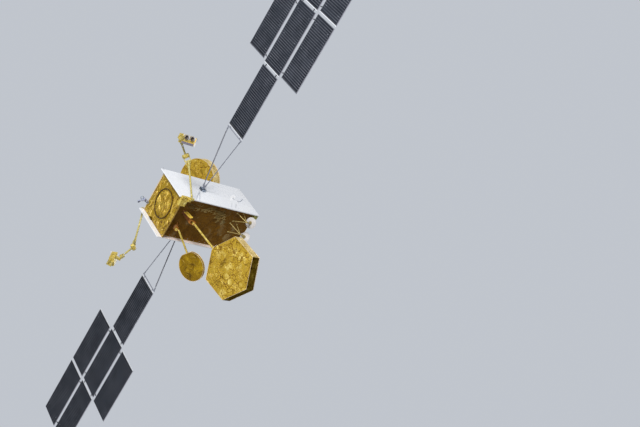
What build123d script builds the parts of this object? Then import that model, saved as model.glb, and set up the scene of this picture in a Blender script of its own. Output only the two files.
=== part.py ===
from build123d import *
import math
import os

os.makedirs("parts", exist_ok=True)

# Millimetres. The origin is the centre of the launch ring's aft face.
# +Z runs to the Earth deck, +Y to the north wing, +X to the east wall.

# Bus box
wall_x = 1110.0
deck_z = 45.0
aft_deck_x = 1355.0
earth_z = 5050.0
skin = 40.0
seat = 0.3

# Radiators
radiator_x = 1365.0
radiator_y = 1350.0
radiator_skin = 50.0
radiator_low = -250.0
radiator_high = 5150.0
wall_y = radiator_y - radiator_skin

# Corner blocks under the radiators
corner_width = 220.0
corner_depth = 250.0
corner_height = 270.0
corner_drop = 60.0

# Launch ring
ring_r = 833.0
ring_wall = 30.0
rim_height = 20.0
rim_step = 14.0

# Core block, closed in
core_r = 600.0

# Solar wings
wing_z = 1830.0
housing = 260.0
housing_depth = 130.0
shaft_r = 60.0
shaft_gap = 0.3
shaft_root = 20.0
shaft_end = 60.0
fork_reach = 120.0
fork_width = 220.0
fork_depth = 60.0
fork_height = 80.0
fork_foot = 90.0
yoke_reach = 100.0
yoke_inset = 61.0
tie_inset = 261.0
tie_width = 60.0
panel_start = 5190.0
panel_half = 861.0
panel_length = 3820.0
panel_skin = 25.0
row_gap = 145.0
column_gap = 215.0
side_shift = 86.0
rod_r = 26.0
bar_width = 34.0
bar_height = 44.0
lug_width = 32.0
lug_gap = 5.0
lug_inset = 300.0
lug_bite = 6.0
lug_taper = 0.8
boss_r = 22.0
pin_r = 8.0
pin_gap = 0.3
fold_rise = 32.0

# Reflector on the west wall, six-sided
hex_hinge = Vector(-1600, 90, 1240)
hex_centre = Vector(-5400, 17, 1721)
hex_normal = Vector(0.18, -0.07, 0.98).normalized()
hex_r = 1668.0
hex_sides = 6
hex_depth = 540.0
hex_rim = 1380.0
hex_dip = 300.0
hex_first = Vector(-1, 0, 0)

# Reflector on the west wall, round
round_hinge = Vector(-1404, -587, 579)
round_centre = Vector(-2862, -1839, 1568)
round_normal = Vector(0.45, 0.12, 0.88).normalized()
round_r = 805.0
round_depth = 120.0
round_rim = 780.0
round_dip = 85.0
round_first = Vector(-0.8, 0, 0.6)

# Reflector on the east wall, round
east_hinge = Vector(1500, 244, 4000)
east_centre = Vector(3238, 244, 3611)
east_normal = Vector(0.286, 0.003, 0.958).normalized()
east_r = 1320.0
east_depth = 530.0
east_rim = 1270.0
east_dip = 280.0
east_first = Vector(1, 0, -0.2)

# Booms and their hinges
north = Vector(0, 1, 0)
hex_boom_r = 57.0
round_boom_r = 52.0
east_boom_r = 52.0
knuckle_r = 80.0
knuckle_width = 150.0
cheek = 28.0
cheek_gap = 5.0
boom_pin_r = 24.0
strap = 130.0
bend_reach = 150.0
flat_cut = 60.0
cut_block = 400.0
cut_over = 1.0
plate = 24.0
plate_width = 240.0
plate_height = 150.0
plate_lift = 6.0

# Leaning bracket that carries the six-sided reflector's boom
lean_foot = Vector(-1110, 380, 690)
lean_foot_width = 190.0
lean_foot_height = 250.0
lean_reach = 270.0
lean_bridge = 90.0
lean_back = Vector(0.657, 0, -0.755)
stay_r = 14.0
stay_inset = 60.0
stay_places = [(-340, 640), (-430, 800)]
foot_trim = 200.0

# Thruster arms, north one; the south one is turned half round
arm_root = Vector(-1707, 1500, 261)
arm_tip = Vector(-342, 2930, -135)
elbow = Vector(-59, 3073, -261)
wrist = Vector(170, 3670, -800)
arm_back = Vector(0.91, -0.41, 0)
arm_r = 50.0
arm_knuckle_r = 75.0
arm_knuckle_width = 150.0
arm_pin_r = 25.0
arm_cheek = 25.0
arm_reach = 165.0
arm_bridge = 60.0
arm_strap = 90.0
elbow_r = 115.0
elbow_width = 250.0
elbow_pin_r = 30.0
elbow_cheek = 30.0
elbow_reach = 330.0
elbow_bridge = 70.0
elbow_strap = 70.0

# Thruster head: a block with two nozzles, a drive box on its aft end and a carrier on the wrist post
head = Vector(-159, 4034, -775)
head_lean = 20.0
head_length = 800.0
head_width = 490.0
head_depth = 300.0
nozzle_r = 112.0
nozzle_throat_r = 70.0
nozzle_wall = 10.0
nozzle_height = 70.0
nozzle_rise = 125.0
nozzle_places = [-205.0, 155.0]
drive = Vector(-210, 4107, -1232)
drive_side = 300.0
drive_depth = 136.0
drive_recess = 150.0
drive_recess_depth = 40.0
carrier = Vector(52, 3845, -800)
carrier_size = (325.0, 110.0, 180.0)
post_r = 40.0
post_rise = 200.0
south_head_turn = -55.0

# Steerable dishes
strut_r = 21.0
hub_r = 42.0
hub_width = 64.0
hub_pin_r = 12.0
hub_stem_r = 25.2
apex_reach = 100.0
foot_pad = 90.0
foot_pad_height = 16.0
dish_r = 315.0
dish_dip = 80.0
dish_skin = 10.0
dish_stem_r = 46.0
dish_stem_start = 62.0
dish_stem_bite = 6.0
dish_cheek = 14.0
dish_reach = 64.0
dish_bridge = 17.0
dish_strap = 71.0

# Aft antenna
antenna_foot = Vector(1290, -830, 20)
antenna_foot_side = 120.0
antenna_foot_height = 45.0
antenna_foot_r = 58.0
antenna_tip_r = 40.0
antenna_ring = Vector(1330, -637, -449)
antenna_ring_r = 80.0
antenna_ring_tube = 20.0
antenna_face = Vector(-1, 0.1, -0.05)
antenna_body = 0.86
antenna_branch = 0.6
antenna_arm = Vector(1330, -900, -545)
antenna_arm_r = 26.0
antenna_cap_r = 48.0
antenna_cap_height = 60.0

# Earth deck
horn_height = 300.0
horn_throat = 0.45


def save(part, name):
    part.label = name
    export_step(part, f"parts/{name}.step")


def turned(part):
    return part.rotate(Axis.Z, 180)


def rod(start, end, radius):
    """Round rod from start to end."""
    along = end - start
    with BuildPart() as made:
        with BuildSketch(Plane(origin=start, z_dir=along)):
            Circle(radius)
        extrude(amount=along.length)
    return made.part


def drum(centre, along, radius, height):
    """Round drum with its middle at centre."""
    with BuildPart() as made:
        with BuildSketch(Plane(origin=centre, z_dir=along)):
            Circle(radius)
        extrude(amount=height / 2, both=True)
    return made.part


def bowl_radius(rim, dip):
    """Radius of the sphere that dips this far inside this rim."""
    return (rim ** 2 + dip ** 2) / (2 * dip)


# Launch ring
with BuildPart() as launch_ring:
    with BuildSketch(Plane.XZ) as ring_section:
        with BuildLine():
            Polyline(
                (ring_r - ring_wall - rim_step, 0),
                (ring_r, 0),
                (ring_r, rim_height),
                (ring_r - rim_step, rim_height + rim_step),
                (ring_r - rim_step, deck_z),
                (ring_r - ring_wall - rim_step, deck_z),
                close=True,
            )
        make_face()
    revolve(axis=Axis.Z)
save(launch_ring.part, "launch_ring")

# Core block
with BuildPart() as core_block:
    with BuildSketch(Plane.XY.offset(deck_z + skin)):
        Circle(core_r)
    extrude(amount=earth_z - deck_z - 2 * skin)
save(core_block.part, "core_block")

# Decks and walls
deck_table = [("aft_deck", deck_z, aft_deck_x), ("earth_deck", earth_z - skin, wall_x)]
for name, low, half in deck_table:
    with BuildPart() as deck:
        with BuildSketch(Plane.XY.offset(low)):
            Rectangle(2 * half, 2 * (wall_y - seat))
        extrude(amount=skin)
    save(deck.part, name)

wall_table = [("west_wall", -wall_x), ("east_wall", wall_x - skin)]
for name, low in wall_table:
    with BuildPart() as wall:
        with BuildSketch(Plane.XY.offset(deck_z + skin)):
            with Locations((low + skin / 2, 0)):
                Rectangle(skin, 2 * (wall_y - seat))
        extrude(amount=earth_z - deck_z - 2 * skin)
    save(wall.part, name)

# Radiators
with BuildPart() as north_radiator:
    with BuildSketch(Plane.XY.offset(radiator_low)):
        with Locations((0, radiator_y - radiator_skin / 2)):
            Rectangle(2 * radiator_x, radiator_skin)
    extrude(amount=radiator_high - radiator_low)
save(north_radiator.part, "north_radiator")
save(turned(north_radiator.part), "south_radiator")

# Wing drive housings
with BuildPart() as drive_housings:
    for side in (1, -1):
        with BuildSketch(Plane(origin=(0, side * radiator_y, wing_z), z_dir=(0, side, 0))):
            Rectangle(housing, housing)
            Circle(shaft_r + shaft_gap, mode=Mode.SUBTRACT)
        extrude(amount=housing_depth)
save(drive_housings.part, "drive_housings")


# Yoke
def yoke():
    root_y = radiator_y + shaft_root
    fork_y = radiator_y + housing_depth + fork_reach
    bar_y = panel_start - yoke_reach
    with BuildPart() as made:
        with BuildSketch(Plane(origin=(0, root_y, wing_z), z_dir=(0, 1, 0))):
            Circle(shaft_r)
        extrude(amount=fork_y - root_y + shaft_end)
        with Locations((0, fork_y, wing_z)):
            Box(fork_width, fork_depth, fork_height)
        with Locations((0, bar_y, wing_z)):
            Box(2 * panel_half, bar_width, bar_height)
        for side in (1, -1):
            bar_end = Vector(side * (panel_half - yoke_inset), bar_y, wing_z)
            add(rod(Vector(side * fork_foot, fork_y, wing_z), bar_end, rod_r))
            with Locations((side * (panel_half - tie_inset), (bar_y + panel_start) / 2, wing_z)):
                Box(tie_width, panel_start - bar_y, panel_skin)
    return made.part


# Inline panel: plate, hinge bar, row fittings and the pins its side panels turn on
def inline_panel(row, side_folds):
    low = panel_start + row * (panel_length + row_gap)
    with BuildPart() as made:
        with Locations((0, low + panel_length / 2, wing_z)):
            Box(2 * panel_half, panel_length, panel_skin)
        with Locations((0, low + bar_width / 2, wing_z)):
            Box(2 * panel_half, bar_width, bar_height)
        if row:
            for side in (1, -1):
                with Locations((side * (panel_half - tie_inset), low - row_gap / 2, wing_z)):
                    Box(tie_width, row_gap, panel_skin)
        for side, fold in side_folds:
            for lug_y in (low + lug_inset, low + panel_length - lug_inset):
                add(hinge_lug(side, fold, lug_y, panel_half))
                axis_x = side * (panel_half + column_gap / 2)
                add(drum(
                    Vector(axis_x, lug_y + lug_width + lug_gap / 2, wing_z + fold * fold_rise),
                    north, pin_r, lug_width + 2 * lug_gap,
                ))
    return made.part


# Hinge lug: from a panel's edge at edge_x to the boss on the fold axis
def hinge_lug(side, fold, lug_y, edge_x, bored=False):
    axis_x = panel_half + column_gap / 2
    rise = fold * fold_rise
    half = panel_skin / 2
    reach = math.copysign(lug_bite, axis_x - edge_x)
    with BuildPart() as made:
        start = Vector(0, lug_y - lug_width / 2, wing_z)
        with BuildSketch(Plane(origin=start, x_dir=(1, 0, 0), z_dir=north)):
            with BuildLine():
                Polyline(
                    (side * (edge_x - reach), -half),
                    (side * (edge_x - reach), half),
                    (side * axis_x, -rise + boss_r * lug_taper),
                    (side * axis_x, -rise - boss_r * lug_taper),
                    close=True,
                )
            make_face()
            with Locations((side * axis_x, -rise)):
                Circle(boss_r)
                if bored:
                    Circle(pin_r + pin_gap, mode=Mode.SUBTRACT)
        extrude(amount=lug_width)
    return made.part


# Side panel: plate, hinge bar and bored lugs
def side_panel(row, side, fold):
    low = panel_start + row * (panel_length + row_gap)
    inner = panel_half + column_gap
    middle = side * (inner + panel_half)
    with BuildPart() as made:
        with Locations((middle, low + side_shift + panel_length / 2, wing_z)):
            Box(2 * panel_half, panel_length, panel_skin)
        with Locations((middle, low + side_shift + bar_width / 2, wing_z)):
            Box(2 * panel_half, bar_width, bar_height)
        for lug_y in (low + lug_inset, low + panel_length - lug_inset):
            add(hinge_lug(side, fold, lug_y + lug_width + lug_gap, inner, bored=True))
    return made.part


yoke_part = yoke()
save(yoke_part, "yoke_north")
save(turned(yoke_part), "yoke_south")

# Inline rows: row number, then side and fold direction of each side panel
row_table = [(0, []), (1, [(-1, 1), (1, -1)]), (2, [(-1, 1)])]
for row, side_folds in row_table:
    panel = inline_panel(row, side_folds)
    save(panel, f"panel_north_{row + 1}")
    save(turned(panel), f"panel_south_{row + 1}")

# Side panels: name, row number, side, fold direction
side_table = [("a", 1, -1, 1), ("b", 1, 1, -1), ("c", 2, -1, 1)]
for name, row, side, fold in side_table:
    panel = side_panel(row, side, fold)
    save(panel, f"side_panel_north_{name}")
    save(turned(panel), f"side_panel_south_{name}")


# Hinge clevis: two cheeks and a pin about the axis, joined by a bridge on the back side
def clevis(hinge, axis, back, radius, width, pin, cheek_width, reach, bridge_depth, strap_height):
    axis = axis.normalized()
    back = (back - axis * back.dot(axis)).normalized()
    full = width + 2 * (cheek_gap + cheek_width)
    with BuildPart() as made:
        for side in (1, -1):
            middle = hinge + axis * (side * (full - cheek_width) / 2)
            add(drum(middle, axis, radius, cheek_width))
            with BuildSketch(Plane(origin=middle + back * (reach / 2), x_dir=back, z_dir=axis)):
                Rectangle(reach, strap_height)
            extrude(amount=cheek_width / 2, both=True)
        with BuildSketch(Plane(origin=hinge + back * (reach - bridge_depth), x_dir=axis, z_dir=back)):
            Rectangle(full, strap_height)
        extrude(amount=bridge_depth)
        add(drum(hinge, axis, pin, full))
    return made.part


# Boom brackets: a clevis on a foot against the wall; the six-sided reflector's stands on a leaning block
with BuildPart() as boom_brackets:
    for hinge, back in [(round_hinge, Vector(1, 0, 0)), (east_hinge, Vector(-1, 0, 0))]:
        reach = abs(hinge.X) - wall_x
        depth = reach - knuckle_r - cheek_gap
        add(clevis(hinge, north, back, knuckle_r, knuckle_width, boom_pin_r, cheek, reach, depth, strap))
    add(clevis(
        hex_hinge, north, lean_back, knuckle_r, knuckle_width, boom_pin_r,
        cheek, lean_reach, lean_bridge, strap,
    ))
    lean_top = hex_hinge + lean_back * (lean_reach - lean_bridge / 2)
    with BuildSketch(Plane(origin=lean_foot, x_dir=north, z_dir=(-1, 0, 0))):
        Rectangle(lean_foot_width, lean_foot_height)
    with BuildSketch(Plane(origin=lean_top, x_dir=north, z_dir=(-1, 0, 0))):
        Rectangle(lean_foot_width, strap)
    loft()
    for stay_y, stay_z in stay_places:
        add(rod(Vector(-wall_x, stay_y, stay_z), round_hinge + Vector(knuckle_r + stay_inset, 0, 0), stay_r))
    with BuildSketch(Plane.YZ.offset(-wall_x)):
        Rectangle(2 * wall_y, 2 * earth_z)
    extrude(amount=foot_trim, mode=Mode.SUBTRACT)
save(boom_brackets.part, "boom_brackets")


# Unit direction in the reflector's plane from its centre to its boom
def inward(centre, normal, hinge):
    across = hinge - centre
    return (across - normal * across.dot(normal)).normalized()


# Reflector: a drum on its rear plane with a hollowed front and a flat for the boom
def reflector(centre, normal, hinge, radius, depth, sides, rim, dip):
    across = inward(centre, normal, hinge)
    plane = Plane(origin=centre, x_dir=across, z_dir=normal)
    bowl = bowl_radius(rim, dip)
    with BuildPart() as made:
        with BuildSketch(plane):
            if sides:
                RegularPolygon(radius, sides)
            else:
                Circle(radius)
        extrude(amount=depth)
        with Locations(plane.offset(depth + bowl - dip)):
            Sphere(bowl, mode=Mode.SUBTRACT)
        with BuildSketch(plane.offset(-cut_over)):
            with Locations((radius - flat_cut + cut_block / 2, 0)):
                Rectangle(cut_block, 2 * radius)
        extrude(amount=depth + 2 * cut_over, mode=Mode.SUBTRACT)
    return made.part


# Boom: a bored knuckle on the hinge, a tube through a bend and a plate on the reflector's flat
def boom(hinge, first, centre, normal, radius, tube_r):
    across = inward(centre, normal, hinge)
    plate_foot = centre + across * (radius - flat_cut + seat + plate / 2)
    plate_middle = plate_foot + normal * (plate_height / 2 + plate_lift)
    bend = hinge + first.normalized() * bend_reach
    with BuildPart() as made:
        add(drum(hinge, north, knuckle_r, knuckle_width))
        add(rod(hinge, bend, tube_r))
        with Locations(bend):
            Sphere(tube_r)
        add(rod(bend, plate_middle, tube_r))
        with BuildSketch(Plane(origin=plate_middle, x_dir=normal, z_dir=across)):
            Rectangle(plate_height, plate_width)
        extrude(amount=plate / 2, both=True)
        add(drum(hinge, north, boom_pin_r + pin_gap, knuckle_width + 2 * cut_over), mode=Mode.SUBTRACT)
        plane = Plane(origin=centre + across * (radius - flat_cut + seat), x_dir=normal, z_dir=-across)
        with BuildSketch(plane):
            Rectangle(2 * cut_block, 2 * cut_block)
        extrude(amount=cut_block / 2, mode=Mode.SUBTRACT)
    return made.part


# Reflectors: name, sides, radius, depth, bowl rim, bowl dip, centre, normal, hinge, first way, tube radius
reflector_table = [
    (
        "hex", hex_sides, hex_r, hex_depth, hex_rim, hex_dip,
        hex_centre, hex_normal, hex_hinge, hex_first, hex_boom_r,
    ),
    (
        "round", 0, round_r, round_depth, round_rim, round_dip,
        round_centre, round_normal, round_hinge, round_first, round_boom_r,
    ),
    (
        "east", 0, east_r, east_depth, east_rim, east_dip,
        east_centre, east_normal, east_hinge, east_first, east_boom_r,
    ),
]
for name, sides, radius, depth, rim, dip, centre, normal, hinge, first, tube_r in reflector_table:
    save(reflector(centre, normal, hinge, radius, depth, sides, rim, dip), f"{name}_reflector")
    save(boom(hinge, first, centre, normal, radius, tube_r), f"{name}_boom")

# Thruster arms
elbow_axis = (elbow - arm_tip).cross(wrist - elbow).normalized()
wrist_axis = Vector(1, 0, 0)
up = Vector(0, 0, 1)


def arm_clevis(hinge, axis, back):
    return clevis(
        hinge, axis, back, arm_knuckle_r, arm_knuckle_width, arm_pin_r,
        arm_cheek, arm_reach, arm_bridge, arm_strap,
    )


def arm_knuckle(hinge, axis, body):
    """Body with a bored drum on the hinge axis."""
    with BuildPart() as made:
        add(body)
        add(drum(hinge, axis, arm_knuckle_r, arm_knuckle_width))
        add(drum(hinge, axis, arm_pin_r + pin_gap, arm_knuckle_width + 2 * cut_over), mode=Mode.SUBTRACT)
    return made.part


# Arm housing blocks: low and high corner of each, the south ones before their half turn
north_housing_table = [
    ((-1570, 900, -200), (-1385, 1450, 180)),
    ((-1570, 900, 90), (-1110, 1299, 180)),
    ((-1600, 1250, 160), (-1385, 1440, 366)),
]
south_housing_table = [
    ((-1600, 1250, 216), (-1385, 1440, 366)),
    ((-1570, 1100, 240), (-1110, 1299, 366)),
]


def arm_housing(housing_table):
    with BuildPart() as made:
        for low, high in housing_table:
            size = Vector(*high) - Vector(*low)
            with Locations(Vector(*low) + size / 2):
                Box(size.X, size.Y, size.Z)
        add(arm_clevis(arm_root, up, arm_back))
    return made.part


with BuildPart() as arm_housings:
    add(arm_housing(north_housing_table))
    add(turned(arm_housing(south_housing_table)))
save(arm_housings.part, "arm_housings")

# Upper arm: knuckle at the shoulder, tube through a bend, long forked clevis at the elbow
elbow_back = (arm_tip - elbow).normalized()
with BuildPart() as upper_tube:
    add(rod(arm_root, arm_tip, arm_r))
    with Locations(arm_tip):
        Sphere(arm_r)
    add(rod(arm_tip, elbow + elbow_back * (elbow_reach - elbow_bridge / 2), arm_r))
with BuildPart() as upper_arm:
    add(arm_knuckle(arm_root, up, upper_tube.part))
    add(clevis(
        elbow, elbow_axis, elbow_back, elbow_r, elbow_width, elbow_pin_r,
        elbow_cheek, elbow_reach, elbow_bridge, elbow_strap,
    ))

# Forearm: large bored drum at the elbow, tube, wrist clevis
wrist_back = (elbow - wrist).normalized()
with BuildPart() as forearm:
    add(rod(elbow, wrist + wrist_back * (arm_reach - arm_bridge / 2), arm_r))
    add(drum(elbow, elbow_axis, elbow_r, elbow_width))
    add(drum(elbow, elbow_axis, elbow_pin_r + pin_gap, elbow_width + 2 * cut_over), mode=Mode.SUBTRACT)
    add(arm_clevis(wrist, wrist_axis, wrist_back))

# Thruster head, turned about the wrist post
lean = math.radians(head_lean)
head_plane = Plane(origin=head, x_dir=(0, 0, 1), z_dir=(-math.cos(lean), math.sin(lean), 0))


def thruster_head(turn):
    with BuildPart() as block:
        with BuildSketch(head_plane):
            Rectangle(head_length, head_width)
        extrude(amount=head_depth / 2, both=True)
        with Locations(drive):
            Box(drive_side, drive_side, drive_depth)
        with Locations(drive - Vector(0, 0, drive_depth / 2)):
            Box(drive_recess, drive_recess, 2 * drive_recess_depth, mode=Mode.SUBTRACT)
        with Locations(carrier):
            Box(*carrier_size)
        for along in nozzle_places:
            mouth = head_plane.from_local_coords(Vector(along, nozzle_rise, head_depth / 2))
            bell = Plane(origin=mouth, z_dir=head_plane.z_dir)
            with BuildSketch(bell):
                Circle(nozzle_throat_r)
            with BuildSketch(bell.offset(nozzle_height)):
                Circle(nozzle_r)
            loft()
            with BuildSketch(bell.offset(nozzle_wall)):
                Circle(nozzle_throat_r - nozzle_wall)
            with BuildSketch(bell.offset(nozzle_height)):
                Circle(nozzle_r - nozzle_wall)
            loft(mode=Mode.SUBTRACT)
    with BuildPart() as made:
        add(block.part.rotate(Axis(wrist, (0, 1, 0)), turn))
        add(rod(wrist, wrist + Vector(0, post_rise, 0), post_r))
    return arm_knuckle(wrist, wrist_axis, made.part)


for name, made in [("upper_arm", upper_arm), ("forearm", forearm)]:
    save(made.part, f"{name}_north")
    save(turned(made.part), f"{name}_south")
save(thruster_head(0), "thruster_head_north")
save(turned(thruster_head(south_head_turn)), "thruster_head_south")

# Steerable dishes: name, hub, dish centre, foot places on the west wall
dish_table = [
    ("upper", Vector(-1728, 971, 4344), Vector(-1568, 896, 4704), [(1052, 3902), (1103, 4317), (522, 3906)]),
    ("lower", Vector(-1728, 153, 4400), Vector(-1646, -33, 4793), [(354, 3810), (364, 4270), (-200, 3980)]),
]
with BuildPart() as dish_tripods:
    for name, hub, middle, feet in dish_table:
        level = Vector(middle.X - hub.X, 0, middle.Z - hub.Z)
        apex = hub - level.normalized() * apex_reach
        add(rod(hub, apex, hub_stem_r))
        with Locations(apex):
            Sphere(hub_r)
        for foot_y, foot_z in feet:
            foot = Vector(-wall_x, foot_y, foot_z)
            add(rod(foot, apex, strut_r))
            with Locations((-wall_x - foot_pad_height / 2, foot_y, foot_z)):
                Box(foot_pad_height, foot_pad, foot_pad)
        with BuildSketch(Plane.YZ.offset(-wall_x)):
            Rectangle(2 * wall_y, 2 * earth_z)
        extrude(amount=foot_trim, mode=Mode.SUBTRACT)
        add(drum(hub, north, hub_r, hub_width))
        add(drum(hub, north, hub_pin_r + pin_gap, hub_width + 2 * cut_over), mode=Mode.SUBTRACT)
save(dish_tripods.part, "dish_tripods")

for name, hub, middle, feet in dish_table:
    along = (middle - hub).normalized()
    plane = Plane(origin=middle, x_dir=north.cross(along), z_dir=along)
    bowl = bowl_radius(dish_r, dish_dip)
    with BuildPart() as dish:
        with BuildSketch(plane):
            Circle(dish_r)
        extrude(amount=-dish_dip)
        with Locations(plane.offset(bowl - dish_dip)):
            Sphere(bowl, mode=Mode.INTERSECT)
        with Locations(plane.offset(bowl - dish_dip + dish_skin)):
            Sphere(bowl, mode=Mode.SUBTRACT)
        add(rod(hub + along * dish_stem_start, middle - along * (dish_dip - dish_stem_bite), dish_stem_r))
        add(clevis(
            hub, north, along, hub_r, hub_width, hub_pin_r,
            dish_cheek, dish_reach, dish_bridge, dish_strap,
        ))
    save(dish.part, f"dish_{name}")

# Aft antenna: foot on the aft deck, tapered body, ring and side arm
with BuildPart() as aft_antenna:
    with BuildSketch(Plane.XY.offset(deck_z)):
        with Locations((antenna_foot.X, antenna_foot.Y)):
            Rectangle(antenna_foot_side, antenna_foot_side)
    extrude(amount=-antenna_foot_height)
    body_axis = antenna_ring - antenna_foot
    with BuildSketch(Plane(origin=antenna_foot, z_dir=body_axis)):
        Circle(antenna_foot_r)
    with BuildSketch(Plane(origin=antenna_foot + body_axis * antenna_body, z_dir=body_axis)):
        Circle(antenna_tip_r)
    loft()
    with Locations(Plane(origin=antenna_ring, z_dir=antenna_face)):
        Torus(antenna_ring_r, antenna_ring_tube)
    add(rod(antenna_foot + body_axis * antenna_branch, antenna_arm, antenna_arm_r))
    add(drum(antenna_arm, antenna_face, antenna_cap_r, antenna_cap_height))
save(aft_antenna.part, "aft_antenna")

# Feed horns on the Earth deck: place and mouth radius
horn_table = [(-320, -280, 150), (320, -280, 150), (0, 330, 190)]
with BuildPart() as feed_horns:
    for x, y, mouth in horn_table:
        with BuildSketch(Plane.XY.offset(earth_z)):
            with Locations((x, y)):
                Circle(horn_throat * mouth)
        with BuildSketch(Plane.XY.offset(earth_z + horn_height)):
            with Locations((x, y)):
                Circle(mouth)
        loft()
save(feed_horns.part, "feed_horns")

# Corner blocks under the radiators at the Earth end
with BuildPart() as corner_blocks:
    for side_x in (1, -1):
        for side_y in (1, -1):
            middle_x = side_x * (wall_x + corner_width / 2)
            middle_y = side_y * (wall_y - corner_depth / 2)
            with Locations((middle_x, middle_y, earth_z - corner_drop)):
                Box(corner_width, corner_depth - 2 * seat, corner_height)
save(corner_blocks.part, "corner_blocks")

# Radiator fittings: x, z, radius and height on the north face
fitting_table = [(-308, 4144, 38, 60), (-120, 3914, 52, 45), (1310, -190, 30, 110)]
with BuildPart() as radiator_fittings:
    for x, z, radius, height in fitting_table:
        with BuildSketch(Plane(origin=(x, radiator_y, z), z_dir=(0, 1, 0))):
            Circle(radius)
        extrude(amount=height)
save(radiator_fittings.part, "radiator_fittings")
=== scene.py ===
import math
import random

import bpy
from mathutils import Matrix, Vector, noise
from mathutils.geometry import delaunay_2d_cdt


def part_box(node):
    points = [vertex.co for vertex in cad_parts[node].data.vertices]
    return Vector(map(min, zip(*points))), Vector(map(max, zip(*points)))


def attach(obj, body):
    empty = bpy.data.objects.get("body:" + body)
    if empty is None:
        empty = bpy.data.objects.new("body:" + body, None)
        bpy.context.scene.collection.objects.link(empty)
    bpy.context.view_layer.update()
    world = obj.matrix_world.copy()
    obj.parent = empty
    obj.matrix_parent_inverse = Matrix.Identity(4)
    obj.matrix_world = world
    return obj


# Metres, in the frame of the CAD: +Z to the Earth deck, +Y to the north wing, +X to the east wall.
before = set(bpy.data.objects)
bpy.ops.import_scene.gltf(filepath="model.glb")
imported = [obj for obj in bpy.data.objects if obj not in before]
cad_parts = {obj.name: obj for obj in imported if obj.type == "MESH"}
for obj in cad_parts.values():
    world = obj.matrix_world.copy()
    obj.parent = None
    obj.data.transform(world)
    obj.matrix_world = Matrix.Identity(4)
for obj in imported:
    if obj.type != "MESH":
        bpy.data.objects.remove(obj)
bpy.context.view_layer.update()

# Camera, far below the satellite and looking up at it
camera_place = Vector((-44.82, 23.085, -32.37))
camera_forward = Vector((0.6849, -0.3253, 0.6520))
camera_up = Vector((0.5649, 0.8022, -0.1931))
camera_lens = 61.96
camera_sensor = 36.0
camera_reach = 1000.0

# Floor below the camera, pale backdrop
floor_drop = 30.0
floor_half = 290.0
backdrop_colour = (0.53, 0.56, 0.61)
floor_colour = (0.55, 0.56, 0.58)

# Soft light from everywhere, two round lamps (name, place, width, power) and a wide sun
sky_colour = (0.95, 0.97, 1.0)
sky_strength = 0.30
round_lamps = (("key", (-9.0, 28.0, -25.0), 14.0, 16500.0), ("fill", (-12.0, -30.0, -24.0), 18.0, 2500.0))
sun_toward = (0.25, -0.55, 0.80)
sun_angle = math.radians(50.0)
sun_strength = 1.5

# Wings
panel_start = 5.19
panel_length = 3.82
panel_half = 0.861
row_pitch = 3.965
column_gap = 0.215
side_shift = 0.086
panel_skin = 0.025
bar_width = 0.034
bar_height = 0.044
wing_z = 1.83
cell_rows = 29
cell_columns = 26
bar_gap = 0.034
cell_margin = 0.020
first_lead = 0.100
other_lead = 0.045
rail_width = 0.020
rail_gap = 0.045
cell_clear = 0.001
cell_crop = 0.010
cell_rise = 0.0014
busbar_rise = 0.0022


# Stage
def make_camera():
    data = bpy.data.cameras.new("camera")
    data.lens = camera_lens
    data.sensor_width = camera_sensor
    data.clip_end = camera_reach
    camera = bpy.data.objects.new("camera", data)
    bpy.context.scene.collection.objects.link(camera)
    back = -camera_forward.normalized()
    right = camera_up.cross(back).normalized()
    turn = Matrix((right, back.cross(right), back)).transposed()
    camera.matrix_world = Matrix.Translation(camera_place) @ turn.to_4x4()
    bpy.context.scene.camera = camera


def make_world():
    """Soft light on the object, and the plain backdrop wherever the world itself is seen."""
    world = bpy.data.worlds.new("studio")
    world.use_nodes = True
    tree = world.node_tree
    tree.nodes.clear()
    paths = tree.nodes.new("ShaderNodeLightPath")
    seen = paths.outputs["Is Camera Ray"]
    for ray in ("Is Glossy Ray", "Is Transmission Ray"):
        either = tree.nodes.new("ShaderNodeMath")
        either.operation = "MAXIMUM"
        tree.links.new(seen, either.inputs[0])
        tree.links.new(paths.outputs[ray], either.inputs[1])
        seen = either.outputs[0]
    mix = tree.nodes.new("ShaderNodeMixShader")
    tree.links.new(seen, mix.inputs["Fac"])
    for socket, colour, strength in ((1, sky_colour, sky_strength), (2, backdrop_colour, 1.0)):
        glow = tree.nodes.new("ShaderNodeBackground")
        glow.inputs["Color"].default_value = (*colour, 1)
        glow.inputs["Strength"].default_value = strength
        tree.links.new(glow.outputs[0], mix.inputs[socket])
    out = tree.nodes.new("ShaderNodeOutputWorld")
    tree.links.new(mix.outputs[0], out.inputs["Surface"])
    bpy.context.scene.world = world


def make_light(name, kind, toward, power):
    """Light whose rays come from the given direction."""
    data = bpy.data.lights.new(name, kind)
    data.energy = power
    light = bpy.data.objects.new(name, data)
    bpy.context.scene.collection.objects.link(light)
    light.rotation_euler = (-Vector(toward)).to_track_quat("-Z", "Y").to_euler()
    return light


def make_lights():
    for name, place, width, power in round_lamps:
        lamp = make_light(name, "AREA", place, power)
        lamp.location = place
        lamp.data.shape = "DISK"
        lamp.data.size = width
    make_light("top", "SUN", sun_toward, sun_strength).data.angle = sun_angle


# Looks: procedural materials on object coordinates
white = (1.0, 1.0, 1.0)
black = (0.0, 0.0, 0.0)
half = (0.5, 0.5, 0.5)


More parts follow.
